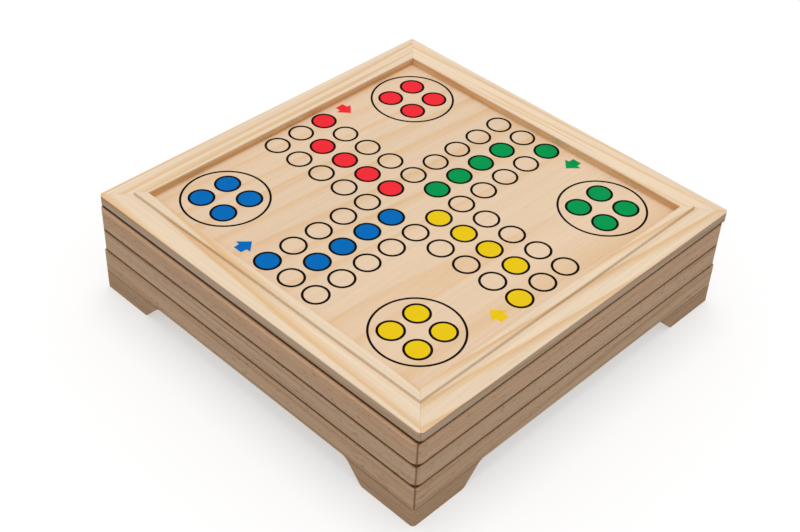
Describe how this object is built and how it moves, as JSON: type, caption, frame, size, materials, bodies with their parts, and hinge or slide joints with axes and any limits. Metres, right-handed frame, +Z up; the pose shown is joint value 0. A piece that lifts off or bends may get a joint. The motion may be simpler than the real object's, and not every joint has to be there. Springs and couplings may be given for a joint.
{
  "type": "stacked ludo board box",
  "caption": "Square wooden game box of stacked lift-off layers: a framed ludo board, storage trays with pawns and dice, and a base tray on corner bracket feet.",
  "frame": {"origin": "on the surface it stands on, under the centre of the base", "axes": "+X towards the yellow arm of the ludo cross, +Y towards the green arm, +Z up"},
  "size_m": [0.34, 0.3418, 0.0928],
  "materials": {
    "plywood": "clear lacquered birch plywood",
    "board_rail": "clear lacquered light pine",
    "upper_rail": "clear lacquered pine",
    "lower_rail": "clear lacquered pine",
    "base_rail": "clear lacquered pine",
    "foot": "clear lacquered pine",
    "pawn_blue": "gloss painted wood",
    "pawn_yellow": "gloss painted wood",
    "pawn_green": "gloss painted wood",
    "pawn_red": "gloss painted wood",
    "die": "polished ivory plastic"
  },
  "bodies": {
    "base_tray": {"base_panel": "plywood", "base_rail_front": "base_rail", "base_rail_right": "base_rail", "base_rail_back": "base_rail", "base_rail_left": "base_rail", "foot_front_left": "foot", "foot_front_right": "foot", "foot_back_right": "foot", "foot_back_left": "foot"},
    "lower_tray": {"lower_panel": "plywood", "lower_rail_front": "lower_rail", "lower_rail_right": "lower_rail", "lower_rail_back": "lower_rail", "lower_rail_left": "lower_rail"},
    "upper_tray": {"upper_panel": "plywood", "upper_rail_front": "upper_rail", "upper_rail_right": "upper_rail", "upper_rail_back": "upper_rail", "upper_rail_left": "upper_rail", "divider_long": "plywood", "divider_cross": "plywood", "pawns_blue": "pawn_blue", "pawns_yellow": "pawn_yellow", "pawns_green": "pawn_green", "pawns_red": "pawn_red", "dice": "die"},
    "ludo_board": {"ludo_panel": "plywood", "ludo_rail_front": "board_rail", "ludo_rail_right": "board_rail", "ludo_rail_back": "board_rail", "ludo_rail_left": "board_rail"}
  },
  "joints": [
    {"name": "lower_tray_lift", "type": "slide", "parent": "base_tray", "child": "lower_tray", "axis": [0, 0, 1], "range_m": [0, 0.08]},
    {"name": "upper_tray_lift", "type": "slide", "parent": "lower_tray", "child": "upper_tray", "axis": [0, 0, 1], "range_m": [0, 0.08]},
    {"name": "board_lift", "type": "slide", "parent": "upper_tray", "child": "ludo_board", "axis": [0, 0, 1], "range_m": [0, 0.08]}
  ]
}
